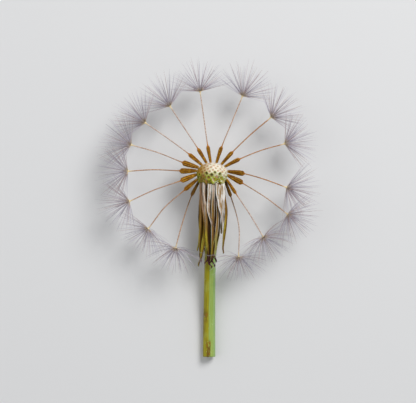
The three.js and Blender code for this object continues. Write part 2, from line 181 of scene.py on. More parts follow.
class MeshParts:  # the parts of one piece, with numbers on their points for its material
    def __init__(self, *marks):
        self.points, self.faces = [], []
        self.marks = {mark: [] for mark in marks}

    def add(self, shape, **marks):
        points, faces = shape
        start = len(self.points)
        self.points += points
        self.faces += [[start + corner for corner in face] for face in faces]
        for mark, values in self.marks.items():
            given = marks[mark]
            values += given if isinstance(given, list) else [given] * len(points)

    def build(self, name, material, node):
        mesh = bpy.data.meshes.new(name)
        mesh.from_pydata([headCentre + point * mm for point in self.points], [], self.faces)
        for mark, values in self.marks.items():
            mesh.attributes.new(mark, "FLOAT", "POINT").data.foreach_set("value", values)
        mesh.polygons.foreach_set("use_smooth", [True] * len(mesh.polygons))
        mesh.materials.append(material)
        mesh.update()
        piece = addObject(name, mesh)
        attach(piece, "root")
        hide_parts(node)
        return piece


class Field:  # a socket of a shader that can be used in sums
    def __init__(self, shader, socket):
        self.shader, self.socket = shader, socket

    def calc(self, operation, first, second):
        return self.shader.node("ShaderNodeMath", {"operation": operation}, {0: first, 1: second})

    def __add__(self, other):
        return self.calc("ADD", self, other)

    def __sub__(self, other):
        return self.calc("SUBTRACT", self, other)

    def __rsub__(self, other):
        return self.calc("SUBTRACT", other, self)

    def __mul__(self, other):
        return self.calc("MULTIPLY", self, other)

    __radd__, __rmul__ = __add__, __mul__

    def __abs__(self):
        return self.calc("ABSOLUTE", self, 0.0)

    def rise(self, low, high):  # 0 at low, 1 at high and eased between them
        settings = {"interpolation_type": "SMOOTHSTEP"}
        inputs = {"Value": self, "From Min": low, "From Max": high}
        return self.shader.node("ShaderNodeMapRange", settings, inputs)


class Shader:
    def __init__(self, name, **constants):
        self.material = bpy.data.materials.new(name)
        self.material.use_nodes = True
        self.tree = self.material.node_tree
        self.surface = self.tree.nodes["Principled BSDF"]
        for socket, value in constants.items():
            self.surface.inputs[socket.replace("_", " ")].default_value = value

    def node(self, kind, settings=None, inputs=None, output=0):
        made = self.tree.nodes.new(kind)
        for setting, value in (settings or {}).items():
            setattr(made, setting, value)
        for key, value in (inputs or {}).items():
            self.feed(made.inputs[key], value)
        return Field(self, made.outputs[output])

    def feed(self, socket, value):
        if isinstance(value, Field):
            self.tree.links.new(value.socket, socket)
        elif socket.type == "RGBA":
            socket.default_value = (*value, 1)
        else:
            socket.default_value = value

    def mark(self, name):
        return self.node("ShaderNodeAttribute", {"attribute_name": name}, output="Fac")

    def grains(self, vector, scale, detail):
        inputs = {"Vector": vector, "Scale": scale, "Detail": detail}
        return self.node("ShaderNodeTexNoise", {}, inputs)

    def noise(self, scale, detail):  # scale is in waves a millimetre
        place = self.node("ShaderNodeTexCoord", output="Object")
        inputs = {0: place, 1: (1 / mm, 1 / mm, 1 / mm)}
        vector = self.node("ShaderNodeVectorMath", {"operation": "MULTIPLY"}, inputs)
        return self.grains(vector, scale, detail)

    def streaks(self, detail, x, y, z=0.0):  # noise over numbers on the points
        vector = self.node("ShaderNodeCombineXYZ", {}, {"X": x, "Y": y, "Z": z})
        return self.grains(vector, 1.0, detail)

    def blend(self, factor, first, second):
        inputs = {0: factor, 6: first, 7: second}
        return self.node("ShaderNodeMix", {"data_type": "RGBA"}, inputs, output=2)

    # depth is that of the relief, in millimetres
    def finish(self, colour, roughness, height, depth, strength):
        relief = {"Height": height, "Distance": depth * mm, "Strength": strength}
        self.feed(self.surface.inputs["Base Color"], colour)
        self.feed(self.surface.inputs["Roughness"], roughness)
        self.feed(self.surface.inputs["Normal"], self.node("ShaderNodeBump", {}, relief))
        return self.material


stage = {
    "lens": 150.0,
    "sensor": 36.0,
    "clip": (0.005, 20),  # metres
    "viewWidth": 96.5,  # millimetres across the view, at the ring of seeds
    "viewMiddle": (-0.95, -6.64),  # from the middle of the dome
    "floorColour": (0.70, 0.70, 0.70),
    "floorReach": 3,  # metres to each side
    "worldColour": (0.95, 0.97, 1.0),
    "worldStrength": 0.38,
    "lights": [  # name, place and size in metres, watts
        ("keyLight", (0.26, 0.34, 0.50), 0.28, 3.2),
        ("fillLight", (-0.40, 0.05, 0.45), 0.45, 0.6),
    ],
}


def makeCamera():
    distance = stage["viewWidth"] * mm * stage["lens"] / stage["sensor"]
    lens = bpy.data.cameras.new("camera")
    lens.lens = stage["lens"]
    lens.sensor_width = stage["sensor"]
    lens.clip_start, lens.clip_end = stage["clip"]
    camera = addObject("camera", lens)
    aim = headCentre + Vector((*stage["viewMiddle"], 0)) * mm
    camera.location = aim + Vector((0, 0, distance))
    bpy.context.scene.camera = camera


def makeLights():
    for name, place, size, watts in stage["lights"]:
        light = bpy.data.lights.new(name, "AREA")
        light.size, light.energy = size, watts
        lamp = addObject(name, light)
        lamp.location = place
        lamp.rotation_euler = (-Vector(place)).to_track_quat("-Z", "Y").to_euler()
    world = bpy.data.worlds.new("studio")
    world.use_nodes = True
    background = world.node_tree.nodes["Background"]
    background.inputs["Color"].default_value = (*stage["worldColour"], 1)
    background.inputs["Strength"].default_value = stage["worldStrength"]
    bpy.context.scene.world = world
    bpy.context.scene.view_settings.view_transform = "Standard"


def makeFloor():
    mesh = bpy.data.meshes.new("floor")
    reach = stage["floorReach"]
    corners = [(-reach, -reach, 0), (reach, -reach, 0), (reach, reach, 0), (-reach, reach, 0)]
    mesh.from_pydata(corners, [], [(0, 1, 2, 3)])
    paint = Shader("floorPaint", Roughness=0.95)
    paint.feed(paint.surface.inputs["Base Color"], stage["floorColour"])
    mesh.materials.append(paint.material)
    floor = addObject("floor", mesh)


makeCamera()
makeLights()
makeFloor()
print("camera, lights and floor made")


stem = {
    "radiusTop": 1.22,
    "radiusEnd": 1.52,
    "trim": 0.974,  # keeps it inside the flat-sided stem of the frame
    "wall": 0.42,
    "top": -2.21,
    "end": -43.2,
    "hollowTop": -6.0,
    "drift": -0.7,  # how far the cut end stands to the left
    "flatShare": 0.1,  # share of the length that lies on the surface
    "sides": 84,
    "rings": 170,
    "hollowRings": 60,
    "ribs": 13,
    "broadRibs": 5,
    "broadShare": 0.6,  # height of the broad ribs, to that of the others
    "ribHeight": 0.02,
    "raggedness": 0.12,  # of the cut
    "raggedReach": 0.5,  # how far up the stem it goes
    "hairs": 70,
    "hairTop": -14,
    "hairReach": (0.2, 0.5),
    "hairSunk": 0.05,
    "hairRadii": (0.016, 0.013, 0.010, 0.004),
    "hairSides": 4,
}
stemMarks = ("along", "around", "inside", "hair")


def stemShare(y):
    return clamp(y / stem["end"])


def stemMiddle(y):
    share = stemShare(y)
    rest = floorLevel + stem["radiusEnd"] * stem["trim"]
    sideways = stem["drift"] * sin(share * pi / 2)
    return Vector((sideways, y, rest * ease(share, 0, 1 - stem["flatShare"])))


def stemRadius(y):
    return mix(stem["radiusTop"], stem["radiusEnd"], stemShare(y)) * stem["trim"]


def stemAhead(y):
    return (stemMiddle(y - 0.05) - stemMiddle(y + 0.05)).normalized()


def stemMaterial():
    shader = Shader(
        "stemSkin", Subsurface_Weight=0.06, Subsurface_Scale=0.0004, Specular_IOR_Level=0.3,
    )
    along, around, inside, hair = (shader.mark(name) for name in stemMarks)
    streaks = shader.streaks(5, along * 9, around * 26)
    fine = shader.streaks(3, along * 30, around * 120, 3.0)
    clouds = shader.noise(0.35, 3)
    olive = shader.blend(streaks.rise(0.35, 0.65), (0.24, 0.19, 0.002), (0.40, 0.37, 0.005))
    green = shader.blend(streaks.rise(0.35, 0.65), (0.22, 0.34, 0.05), (0.36, 0.48, 0.13))
    green = shader.blend(around.rise(0.76, 0.98) * 0.6, green, (0.25, 0.44, 0.19))
    colour = shader.blend((around + 0.25 * streaks).rise(0.53, 0.66), olive, green)
    colour = shader.blend(clouds.rise(0.52, 0.72) * 0.3, colour, (0.42, 0.47, 0.10))
    # painted highlight: fine pale green streaks, only on the right side that faces the key light
    threads = fine.rise(0.6, 0.75) * around.rise(0.3, 0.7)
    colour = shader.blend(threads * 0.4, colour, (0.55, 0.64, 0.32))
    marks = shader.streaks(4, along * 40, around * 6, 8.0)
    endBlotch = along.rise(0.895, 0.93) * around.rise(0.24, 0.36) * around.rise(0.68, 0.54)
    sideBlotch = along.rise(0.72, 0.76) * along.rise(0.82, 0.79) * around.rise(0.42, 0.34)
    blotch = endBlotch + sideBlotch * 0.7
    colour = shader.blend(blotch * marks.rise(0.36, 0.5), colour, (0.16, 0.09, 0.002))
    colour = shader.blend(blotch * marks.rise(0.56, 0.64), colour, (0.36, 0.13, 0.005))
    colour = shader.blend(inside, colour, (0.62, 0.66, 0.42))
    colour = shader.blend(hair, colour, (0.75, 0.74, 0.66))
    return shader.finish(colour, 0.42 + 0.2 * streaks, 0.6 * fine + 0.4 * streaks, 0.03, 0.5)


# down the outside, round the cut and back up the hollow, each with how far in it is
def stemLevels():
    top, end, hollowTop = (stem[name] for name in ("top", "end", "hollowTop"))
    last = stem["rings"] - 1
    outside = [(mix(top, end, step / last), 0.0) for step in range(stem["rings"])]
    cut = [(end, share) for share in (0.15, 0.4, 0.7)]
    last = stem["hollowRings"] - 1
    inside = [(mix(end, hollowTop, step / last), 1.0) for step in range(stem["hollowRings"])]
    return outside + cut + inside


def stemTube():
    points, along, around, inside = [], [], [], []
    levels = stemLevels()
    for y, depth in levels:
        ahead = stemAhead(y)
        side, up = squareTo(ahead)
        for turn in turns(stem["sides"]):
            ribs = cos(stem["ribs"] * turn + 0.5 * sin(0.3 * y))
            ribs += stem["broadShare"] * cos(stem["broadRibs"] * turn + 1)
            groove = stem["ribHeight"] * (1 + stem["broadShare"] - ribs)
            out = stemRadius(y) - groove - stem["wall"] * depth
            ragged = stem["raggedness"] * abs(wobble(3 * cos(turn), 3 * sin(turn), 5))
            back = ragged * (1 - ease(abs(y - stem["end"]), 0, stem["raggedReach"]))
            spot = stemMiddle(y) + side * out * cos(turn) + up * out * sin(turn)
            points.append(spot - ahead * back)
            along.append(stemShare(y))
            around.append(0.5 + 0.5 * (cos(turn) if side.x > 0 else -cos(turn)))
            inside.append(float(depth > 0))
    return (points, ringFaces(len(levels), stem["sides"])), along, around, inside


def makeStem():
    chance = random.Random(11)
    parts = MeshParts(*stemMarks)
    shape, along, around, inside = stemTube()
    parts.add(shape, along=along, around=around, inside=inside, hair=0.0)
    for _ in range(stem["hairs"]):
        y = mix(stem["end"] + 1, stem["hairTop"], chance.random())
        side, up = squareTo(stemAhead(y))
        turn = 2 * pi * chance.random()
        out = side * cos(turn) + up * sin(turn)
        root = stemMiddle(y) + out * (stemRadius(y) - stem["hairSunk"])
        reach = mix(*stem["hairReach"], chance.random())
        bend = root + out * reach * 0.5
        stray = Vector((chance.uniform(-0.3, 0.3), chance.uniform(-0.4, 0.4), 0.0))
        tip = root + out * reach + stray
        path = [root, root.lerp(bend, 0.6), bend.lerp(tip, 0.4), tip]
        if min(spot.z for spot in path) > floorLevel + head["floorRoom"]:
            shape = tube(path, stem["hairRadii"], stem["hairSides"])
            parts.add(shape, along=0.5, around=0.5, inside=0.0, hair=1.0)
    parts.build("stemStalk", stemMaterial(), "stem")


makeStem()
print("stem made")


receptacle = {
    "rings": 170,
    "sides": 340,
    "pitCount": 118,  # the scars of a full head, in the spiral of its growth
    "pitRadius": 0.35,
    "pitStray": 0.5,  # share by which it varies
    "pitRagged": 0.07,  # how far a pit's outline wanders
    "pitFloor": 0.3,  # share of the radius out to which a pit is flat
    "rimPlace": (1.25, 0.34),  # where the rim stands and how wide it is, to the radius
    "pitDepth": (0.07, 0.32),  # of the shallow pits, and of the deep ones of the dark row
    "rimHeight": (0.03, 0.11),
    "darkRow": (84, 90, 104, 112),  # degrees from the top: deep pits begin, are full, fade and end
    "darkShare": 0.62,  # share of the pits there that are deep
    "ringShare": 0.5,  # share of the pits below with a green rim
    "lumpHeight": 0.09,
    "skirt": 0.7,  # how far the foot's edge droops over the bracts
    "skirtStart": 0.9,  # share of the way down from which it droops
    "footRoom": 5,  # degrees that pits keep from the foot
    "flushReach": (-0.6, 3.0),  # how far to the left the golden side begins and is full
    "seedRoom": 0.45,  # pits keep this far from the seeds
}
receptacleMarks = ("low", "pit", "dark", "ring", "flush")
footFall = acos(-head["domeFoot"] / head["domeTaper"])  # angle from the top down to the foot


# fall: angle down from the top. around: angle from +Z towards +X
def domePoint(fall, around, out=0.0):
    height = head["domeTop"] if cos(fall) > 0 else head["domeTaper"]
    level = sin(fall) * (head["domeRadius"] + out)
    rise = (height + out) * cos(fall)
    return Vector((level * sin(around), rise, level * cos(around)))


def seedRoot(seed):
    fall, below = seed["root"]
    return domePoint(radians(abs(fall)), copysign(radians(90 + below), fall))


# One row for each seed, clockwise from the top of the ring.
# root: degrees round the dome's outline from its top, and degrees below the level ring.
# lean: degrees of the seed's body from straight up the head. roll: those of its flat side.
# bow: how far the beak bows out sideways, clockwise. hub: the middle of the plume.
# open: degrees from the plume's axis to its outermost hairs.
# curl: how far they bend away from the axis, or towards it where it is below 0.
# crown: length of the hairs along the axis, to that of the outermost.
# warmth: 0 for a pale beak, 1 for an orange one. shade: how dark the seed is.
seedValues = ("root", "lean", "roll", "bow", "hub", "open", "curl", "crown", "warmth", "shade")
seeds = [dict(zip(seedValues, row)) for row in [
    ((-5, 0), -10, 72, 0, (-2.8, 18.9, 0.5), 84, 0.3, 0.95, 0.1, 0.0),
    ((16, 0), 18, 66, 0, (7.1, 17.9, -0.5), 80, 0.2, 1.05, 0.35, 0.15),
    ((36, 0), 42, 64, -0.2, (13.7, 12.9, 0.6), 76, 0.2, 1, 0.9, 0.15),
    ((53, 0), 63, 60, -0.3, (16.9, 6.8, -0.6), 74, 0.3, 0.95, 0.8, 0.05),
    ((81, 0), 98, 28, -0.2, (17.3, -3.4, 0.6), 82, -0.2, 0.95, 0.9, 0.3),
    ((98, 0), 118, 8, -0.3, (17.6, -9.6, -0.7), 92, -0.7, 0.85, 0.5, 0.3),
    ((112, 0), 147, 88, -0.15, (11.9, -14.9, 0.6), 108, -1.6, 0.76, 0.1, 0.05),
    ((118, 18), 160, 88, -0.95, (6.2, -19.6, -0.4), 112, -1.7, 0.63, 0.1, 0.9),
    ((-119, 18), -153, 80, 0.2, (-8.5, -17.5, 0.4), 109, -1.9, 0.68, 0.5, 0.9),
    ((-112, 0), -130, 50, 0.6, (-14.9, -13.0, -0.6), 98, -0.9, 0.7, 0.5, 0.2),
    ((-95, 0), -112, 10, 0.3, (-19.2, -6.6, 0.6), 84, -0.2, 0.92, 0.45, 0.1),
    ((-78, 0), -90, 5, 0.3, (-19.6, 0.4, -0.5), 82, 0.3, 0.95, 0.6, 0.35),
    ((-59, 0), -72, 12, 0.3, (-18.8, 6.5, 0.6), 78, 0.2, 0.97, 0.25, 0.2),
    ((-40, 0), -50, 58, 0.1, (-15.6, 11.7, -0.6), 76, 0.2, 1, 0.05, 0.0),
    ((-20, 0), -31, 68, 0, (-9.8, 15.5, 0.5), 76, 0.2, 1, 0.1, 0.0),
]]


def receptacleMaterial():
    shader = Shader(
        "receptacleSkin", Subsurface_Weight=0.12, Subsurface_Scale=0.0005, Specular_IOR_Level=0.35,
    )
    low, pit, dark, ring, flush = (shader.mark(name) for name in receptacleMarks)
    speckle = shader.noise(3.4, 5)
    patches = shader.noise(1.25, 4)
    fine = shader.noise(9.0, 4)
    cream = shader.blend(speckle.rise(0.36, 0.62), (0.72, 0.65, 0.48), (0.90, 0.87, 0.75))
    cream = shader.blend(low.rise(0.35, 0.75) * 0.35, cream, (0.66, 0.62, 0.36))
    green = shader.blend(speckle.rise(0.38, 0.64), (0.075, 0.055, 0.001), (0.36, 0.33, 0.014))
    bare = patches.rise(0.5, 0.56) * (1 - 0.8 * flush) * 0.85
    green = shader.blend(bare, green, (0.82, 0.82, 0.62))
    golden = flush * (patches + 0.5 * flush).rise(0.32, 0.58)
    cream = shader.blend(golden, cream, (0.38, 0.21, 0.014))
    green = shader.blend(flush * 0.6, green, (0.21, 0.13, 0.003))
    greenShare = (low + 0.34 * (patches - 0.5) + 0.05 * flush).rise(0.72, 0.86)
    colour = shader.blend(greenShare, cream, green)
    pitColour = shader.blend(flush, (0.46, 0.20, 0.07), (0.27, 0.12, 0.003))
    colour = shader.blend(pit * (0.65 + 0.35 * flush), colour, pitColour)
    colour = shader.blend(ring, colour, (0.35, 0.39, 0.008))
    # painted shade: the deep pits of the dark row are darkened to a dark olive
    colour = shader.blend(dark * 0.92, colour, (0.115, 0.09, 0.003))
    blush = shader.noise(1.7, 3).rise(0.54, 0.7) * low.rise(0.7, 0.5)
    colour = shader.blend(blush * 0.4, colour, (0.74, 0.48, 0.34))
    return shader.finish(colour, 0.48 + 0.25 * speckle, fine, 0.04, 0.6)


def pitPlaces():  # each with its place, how deep it is, and how green its rim
    chance = random.Random(5)
    roots = [seedRoot(seed) for seed in seeds]
    lowest = cos(footFall - radians(receptacle["footRoom"]))
    begin, full, last, end = receptacle["darkRow"]
    places = []
    for pit in range(receptacle["pitCount"]):
        share = (pit + 0.5) / receptacle["pitCount"]
        fall = acos(1 - share * (1 - lowest))
        middle = domePoint(fall, pit * goldenTurn)
        down = degrees(fall)
        isDeep = chance.random() < receptacle["darkShare"]
        isRinged = chance.random() < receptacle["ringShare"]
        deep = isDeep * ease(down, begin, full) * ease(down, end, last)
        ringed = isRinged * ease(down, full, last)
        if min((root - middle).length for root in roots) > receptacle["seedRoom"]:
            places.append((middle, deep, ringed))
    return places


def makeReceptacle():
    pits = pitPlaces()
    tree = KDTree(len(pits))
    for index, (middle, _, _) in enumerate(pits):
        tree.insert(middle, index)
    tree.balance()
    points, marks = [], {name: [] for name in receptacleMarks}
    rings, sides = receptacle["rings"], receptacle["sides"]
    rimAt, rimWidth = receptacle["rimPlace"]
    for ring in range(rings):
        fall = mix(0.004, footFall, ring / (rings - 1))
        for turn in turns(sides):
            smooth = domePoint(fall, -turn)
            _, index, gap = tree.find(smooth)
            _, deep, ringed = pits[index]
            radius = receptacle["pitRadius"] * (1 + receptacle["pitStray"] * wobble(index * 3.7))
            gap += receptacle["pitRagged"] * wobble(*(smooth * 4))
            pit = 1 - ease(gap, receptacle["pitFloor"] * radius, radius)
            rim = exp(-(((gap - rimAt * radius) / (rimWidth * radius)) ** 2))
            raised = mix(*receptacle["rimHeight"], max(deep, ringed)) * rim
            sunk = mix(*receptacle["pitDepth"], deep) * pit
            lump = receptacle["lumpHeight"] * wobble(*(smooth * 1.3))
            spot = domePoint(fall, -turn, raised - sunk + lump)
            droop = 0.3 + 0.6 * wobble(*(smooth * 0.9)) + 0.4 * wobble(*(smooth * 2.3))
            skirt = receptacle["skirt"] * ease(fall / footFall, receptacle["skirtStart"], 1)
            spot.y -= skirt * droop
            points.append(spot)
            marks["low"].append(fall / footFall)
            marks["pit"].append(1 - ease(gap, 0.55 * radius, radius))
            # the dark mark carries painted shade into the deep pits
            marks["dark"].append(deep * (1 - ease(gap, 0.6 * radius, 1.25 * radius)))
            marks["ring"].append(rim * max(ringed, 0.8 * deep))
            marks["flush"].append(ease(-smooth.x, *receptacle["flushReach"]))
    parts = MeshParts(*marks)
    parts.add((points, ringFaces(rings, sides)), **marks)
    parts.build("receptacleDome", receptacleMaterial(), "receptacle")


makeReceptacle()
print("receptacle made")


bract = {
    "thickness": 0.1,
    "collarTop": -2.16,
    "collarFoot": -3.1,
    # share of the height, and radius there
    "collarStops": [(0, 1.6), (0.12, 2.5), (0.4, 2.72), (0.75, 2.6), (1, 1.5)],
    "collarRings": 24,
    "collarSides": 180,
    "ridges": 30,
    "ridgeHeight": 0.06,
    "lumpHeight": 0.08,
    "tipWidth": 0.5,
    "rings": 96,
    "sides": 15,  # points across each face
    "footSunk": 0.02,  # share of its length that a strap starts inside the collar
    "sunk": (0.12, 0.6),  # depth of its middle under its edges, and the share lost at the tip
    "wave": 0.12,  # how far it waves out and in
    "waveTurn": 9,  # radians of that wave along it
    "curlStart": 0.8,  # share of the length from which the tip turns out
    "rollStray": 0.25,
    "twistStart": 0.45,  # share of the length from which the tip is twisted
    "twistStray": 0.4,
    "thinning": 0.7,  # share of the thickness lost at the edges
    "pleats": 3.2,
    "pleatHeight": 0.035,
    "ragged": 0.2,  # share of the width that its edges wander
    "tipTaper": (0.85, 0.98),  # share of the width lost at the very end, and where that starts
    "hook": 0.75,  # size of the dry curl at the tip
    "hookStart": (0.87, 0.08),  # share of the length where the curl starts, and how it strays
    "hookDry": (0.5, 1.5),  # turn of the curl at which a tip starts to be dark, and is all dark
}
# One row for each bract. around: degrees round the stem from straight up, towards +X.
# reach: its length. out: distance from the stem's axis at the foot, the middle and the tip.
# swing: degrees that it has gone round the stem by the middle and by the tip.
# curl: how far the tip turns out. narrow: share of the length from which it narrows.
# roll: how tightly its edges roll at the foot and at the tip, outward above 0.
# twist: degrees that its foot and its tip are turned. hook: radians that the curl turns at the tip.
# A row's second line is for its colours.
# pale: share of the length down to which it is pale. olive: share from which it is green.
# warm: 0 for a white strap with bright edges, 1 for a brown one. dark: how brown and shaded it is.
bractValues = (
    "around", "width", "reach", "out", "swing", "curl", "narrow", "roll", "twist", "hook",
    "pale", "olive", "warm", "dark",
)
bracts = [dict(zip(bractValues, row)) for row in [
    (-68, 1, 18.2, (2.7, 2.7, 2.7), (2, 10), 0.2, 0.7, (-1, -1.4), (-45, 20), 1.6,
     0.22, 0.52, 0.75, 0.0),
    (-56, 0.95, 19.2, (2.75, 2.6, 2.8), (24, 8), 0.3, 0.7, (0.9, 1.3), (-30, -60), -0.9,
     0.36, 0.56, 0.85, 0.1),
    (-41, 0.8, 18.6, (2.85, 2.65, 2.4), (19, 30), 0.2, 0.7, (-1, -1.4), (-20, 10), -1.6,
     0.32, 0.56, 0.3, 0.0),
    (-24, 1, 19.6, (2.6, 2.3, 2.2), (12, 16), 0.3, 0.8, (0.8, 1.2), (0, -60), 2.0,
     0.0, 0.85, 1.0, 0.9),
    (-10, 0.9, 10.6, (2.85, 2.75, 2.6), (-2, 20), 0, 0.4, (0.7, 1.1), (0, 30), 0.4,
     0.9, 1.2, 0.25, 0.0),
    (8, 0.8, 19.4, (2.75, 2.6, 2.3), (2, 0), 0.4, 0.8, (0.8, 1.3), (0, -50), 1.5,
     0.14, 0.72, 0.4, 0.1),
    (18, 0.9, 18.8, (2.55, 2.3, 2.1), (4, -6), 0.3, 0.8, (0.8, 1.4), (0, 50), -1.8,
     0.0, 0.8, 1.0, 0.9),
    (30, 0.9, 18.2, (2.6, 2.5, 2.2), (6, -13), 0.3, 0.8, (0.7, 1.2), (0, 40), 1.4,
     0.1, 0.62, 0.0, 0.0),
    (40, 2.8, 11.2, (2.8, 2.85, 3.1), (10, 28), 0, 0.25, (0.5, 0.8), (0, -20), 0.0,
     1.2, 1.4, 0.0, 0.0),
    (68, 1, 16.2, (2.75, 3.5, 3), (14, -2), 0, 0.7, (0.8, 1.4), (45, 20), 0.9,
     0.0, 0.5, 0.8, 0.0),
    (103, 1.3, 11.6, (2.7, 2.7, 2.6), (-4, 8), 0.3, 0.6, (0.6, 1.2), (0, -60), 0.3,
     1.5, 1.8, 0.0, 0.0),
    (128, 1.4, 17.6, (2.85, 2.7, 2.4), (8, 22), 0.2, 0.6, (-0.8, -1.1), (0, 70), 2.0,
     0.5, 0.6, 0.2, 0.0),
    (154, 1.3, 16.6, (2.85, 2.6, 2.3), (-6, 6), 0.4, 0.6, (0.7, 1.3), (0, -40), 3.0,
     0.4, 0.5, 0.7, 0.1),
    (180, 1.4, 18, (2.85, 2.6, 2.3), (6, -8), 0.5, 0.6, (-0.6, -1.2), (0, 60), 2.8,
     0.6, 0.7, 0.1, 0.0),
    (207, 1.3, 15.8, (2.85, 2.7, 2.4), (-4, 10), 0.3, 0.6, (0.7, 1.2), (0, -70), -2.6,
     0.4, 0.6, 0.5, 0.2),
    (233, 1.4, 17.2, (2.85, 2.7, 2.5), (6, -6), 0.4, 0.6, (-0.8, -1.3), (0, 50), 0.6,
     0.3, 0.5, 0.5, 0.0),
    (262, 1.2, 15.6, (2.7, 2.7, 2.6), (-6, 6), 0.3, 0.6, (0.7, 1.2), (0, -50), 0.6,
     0.2, 0.5, 0.15, 0.0),
]]
bractMarks = ("along", "across", "inner", "tone", "pale", "olive", "warm", "dark", "hooked")


def bractMaterial():
    shader = Shader(
        "dryBract", Subsurface_Weight=0.05, Subsurface_Scale=0.0003, Specular_IOR_Level=0.2,
    )
    fields = (shader.mark(name) for name in bractMarks)
    along, across, inner, tone, pale, olive, warm, dark, hooked = fields
    veins = shader.streaks(3, across * 4, along * 4, tone * 50)
    threads = shader.streaks(4, across * 13, along * 9, tone * 50 + 3)
    stains = shader.streaks(4, across * 1.6, along * 9, tone * 50 + 7)
    fine = shader.noise(7.0, 3)
    place = along + 0.3 * (stains - 0.5)
    white = shader.blend(veins.rise(0.38, 0.56), (0.31, 0.19, 0.07), (0.84, 0.81, 0.76))
    tan = shader.blend(veins.rise(0.42, 0.6), (0.15, 0.055, 0.008), (0.56, 0.36, 0.22))
    paper = shader.blend(warm, white, tan)
    paper = shader.blend(threads.rise(0.54, 0.7) * 0.5, paper, (0.34, 0.20, 0.08))
    stained = stains.rise(0.5, 0.62) * place.rise(0.08, 0.3)
    paper = shader.blend(stained * 0.7, paper, (0.33, 0.20, 0.06))
    ochre = shader.blend(veins.rise(0.38, 0.6), (0.11, 0.042, 0.002), (0.43, 0.25, 0.03))
    green = shader.blend(veins.rise(0.42, 0.57), (0.06, 0.04, 0.001), (0.62, 0.56, 0.02))
    green = shader.blend(warm.rise(0.3, 0.0) * 0.7, green, (0.60, 0.60, 0.26))
    green = shader.blend(stains.rise(0.53, 0.63) * 0.65, green, (0.14, 0.055, 0.004))
    colour = shader.blend((place - pale).rise(-0.12, 0.16), paper, ochre)
    colour = shader.blend((place - olive).rise(-0.1, 0.1) * 0.94, colour, green)
    edge = (abs(across) + 0.5 * (stains - 0.5)).rise(0.6, 0.9)
    edgeColour = shader.blend(warm.rise(0.3, 0.6), (0.88, 0.85, 0.79), (0.19, 0.08, 0.008))
    colour = shader.blend(edge * (olive - place).rise(-0.05, 0.1) * 0.85, colour, edgeColour)
    # painted highlight: bright yellow along the edges of the green part of the straps
    colour = shader.blend(edge * (place - olive).rise(0.0, 0.15) * 0.7, colour, (0.74, 0.69, 0.12))
    burnt = (across + 0.9 * (stains - 0.5)).rise(0.1, 0.6) * place.rise(0.2, 0.42)
    burnt = burnt * (0.45 + 0.45 * warm.rise(0.05, 0.3))
    colour = shader.blend(burnt, colour, (0.12, 0.05, 0.004))
    middle = (abs(across) + 0.6 * (veins - 0.5)).rise(0.3, 0.12) * place.rise(0.1, 0.3)
    colour = shader.blend(middle * 0.5, colour, (0.34, 0.19, 0.06))
    colour = shader.blend(threads.rise(0.6, 0.72) * 0.4, colour, (0.22, 0.12, 0.03))
    # painted shade: straps deep in the gaps behind the others are darkened to a near-black brown
    colour = shader.blend(dark * 1.08, colour, (0.035, 0.015, 0.003))
    # painted shade: the inner faces of the straps, turned to the stem, are darkened, more on brown
    # ones
    colour = shader.blend(inner * (0.1 + 0.75 * warm), colour, (0.10, 0.055, 0.012))
    tipColour = shader.blend(veins.rise(0.45, 0.6), (0.026, 0.005, 0.010), (0.17, 0.012, 0.065))
    dryTip = place.rise(0.82, 0.90) * olive.rise(1.1, 0.9) * hooked
    colour = shader.blend(dryTip, colour, tipColour)
    return shader.finish(colour, 0.5 + 0.3 * fine, veins + 0.5 * threads, 0.07, 0.9)


def bractStrap(row, number):
    foot = (bract["collarTop"] + bract["collarFoot"]) / 2
    sides, rings = bract["sides"], bract["rings"]
    points, along, across, inner = [], [], [], []
    hookStart, stray = bract["hookStart"]
    hookStart += stray * wobble(2.7 * number)
    middleSunk, sunkLoss = bract["sunk"]
    tipLoss, tipStart = bract["tipTaper"]
    # the curl takes some of the length back
    reach = row["reach"] + bract["hook"] * (1 - cos(row["hook"]))
    for ring in range(rings):
        share = mix(-bract["footSunk"], 1, ring / (rings - 1))
        part = clamp(share)
        wave = bract["wave"] * min(1, 3 * part) * sin(bract["waveTurn"] * part + row["around"])
        curl = row["curl"] * ease(part, bract["curlStart"], 1)
        distance = through(row["out"], part) + wave + curl
        hook = row["hook"] * ease(part, hookStart, 1)
        around = radians(row["around"] + through((0, *row["swing"]), part))
        outward = Vector((sin(around), 0, cos(around)))
        sideways = Vector((cos(around), 0, -sin(around)))
        middle = stemMiddle(foot - share * reach) + outward * distance
        curled = sideways * sin(hook) + Vector((0, 1, 0)) * (1 - cos(hook))
        middle += bract["hook"] * curled
        narrowed = ease(part, row["narrow"], 1)
        blunt = 1 - tipLoss * ease(part, tipStart, 1)
        half = mix(row["width"], bract["tipWidth"], narrowed) / 2 * blunt
        roll = mix(*row["roll"], part)
        roll += copysign(bract["rollStray"], roll) * wobble(5 * part, number * 5)
        sunk = copysign(middleSunk, roll) * (1 - sunkLoss * narrowed)
        turned = radians(mix(*row["twist"], ease(part, bract["twistStart"], 1)))
        twist = Matrix.Rotation(turned + bract["twistStray"] * wobble(4 * part, 9, number), 2)
        for face in (-1, 1):
            for step in range(sides):
                u = (2 * step / (sides - 1) - 1) * -face
                edge = wobble(7 * share, copysign(3, u), number)
                ragged = 1 + bract["ragged"] * edge * abs(u)
                turn = roll * u
                x = half * ragged * sin(turn) / roll
                y = half * ragged * (1 - cos(turn)) / roll - sunk
                thin = bract["thickness"] / 2 * (1 - bract["thinning"] * u * u)
                y += face * thin * cos(turn)
                pleat = cos(bract["pleats"] * pi * u + 2 * part + number)
                y += bract["pleatHeight"] * pleat * (1 - u * u)
                x -= face * thin * sin(turn)
                x, y = twist @ Vector((x, y))
                points.append(middle + sideways * x + outward * y)
                along.append(part)
                across.append(u)
                inner.append(float(face < 0))
    marks = {"along": along, "across": across, "inner": inner}
    return (points, ringFaces(rings, 2 * sides)), marks


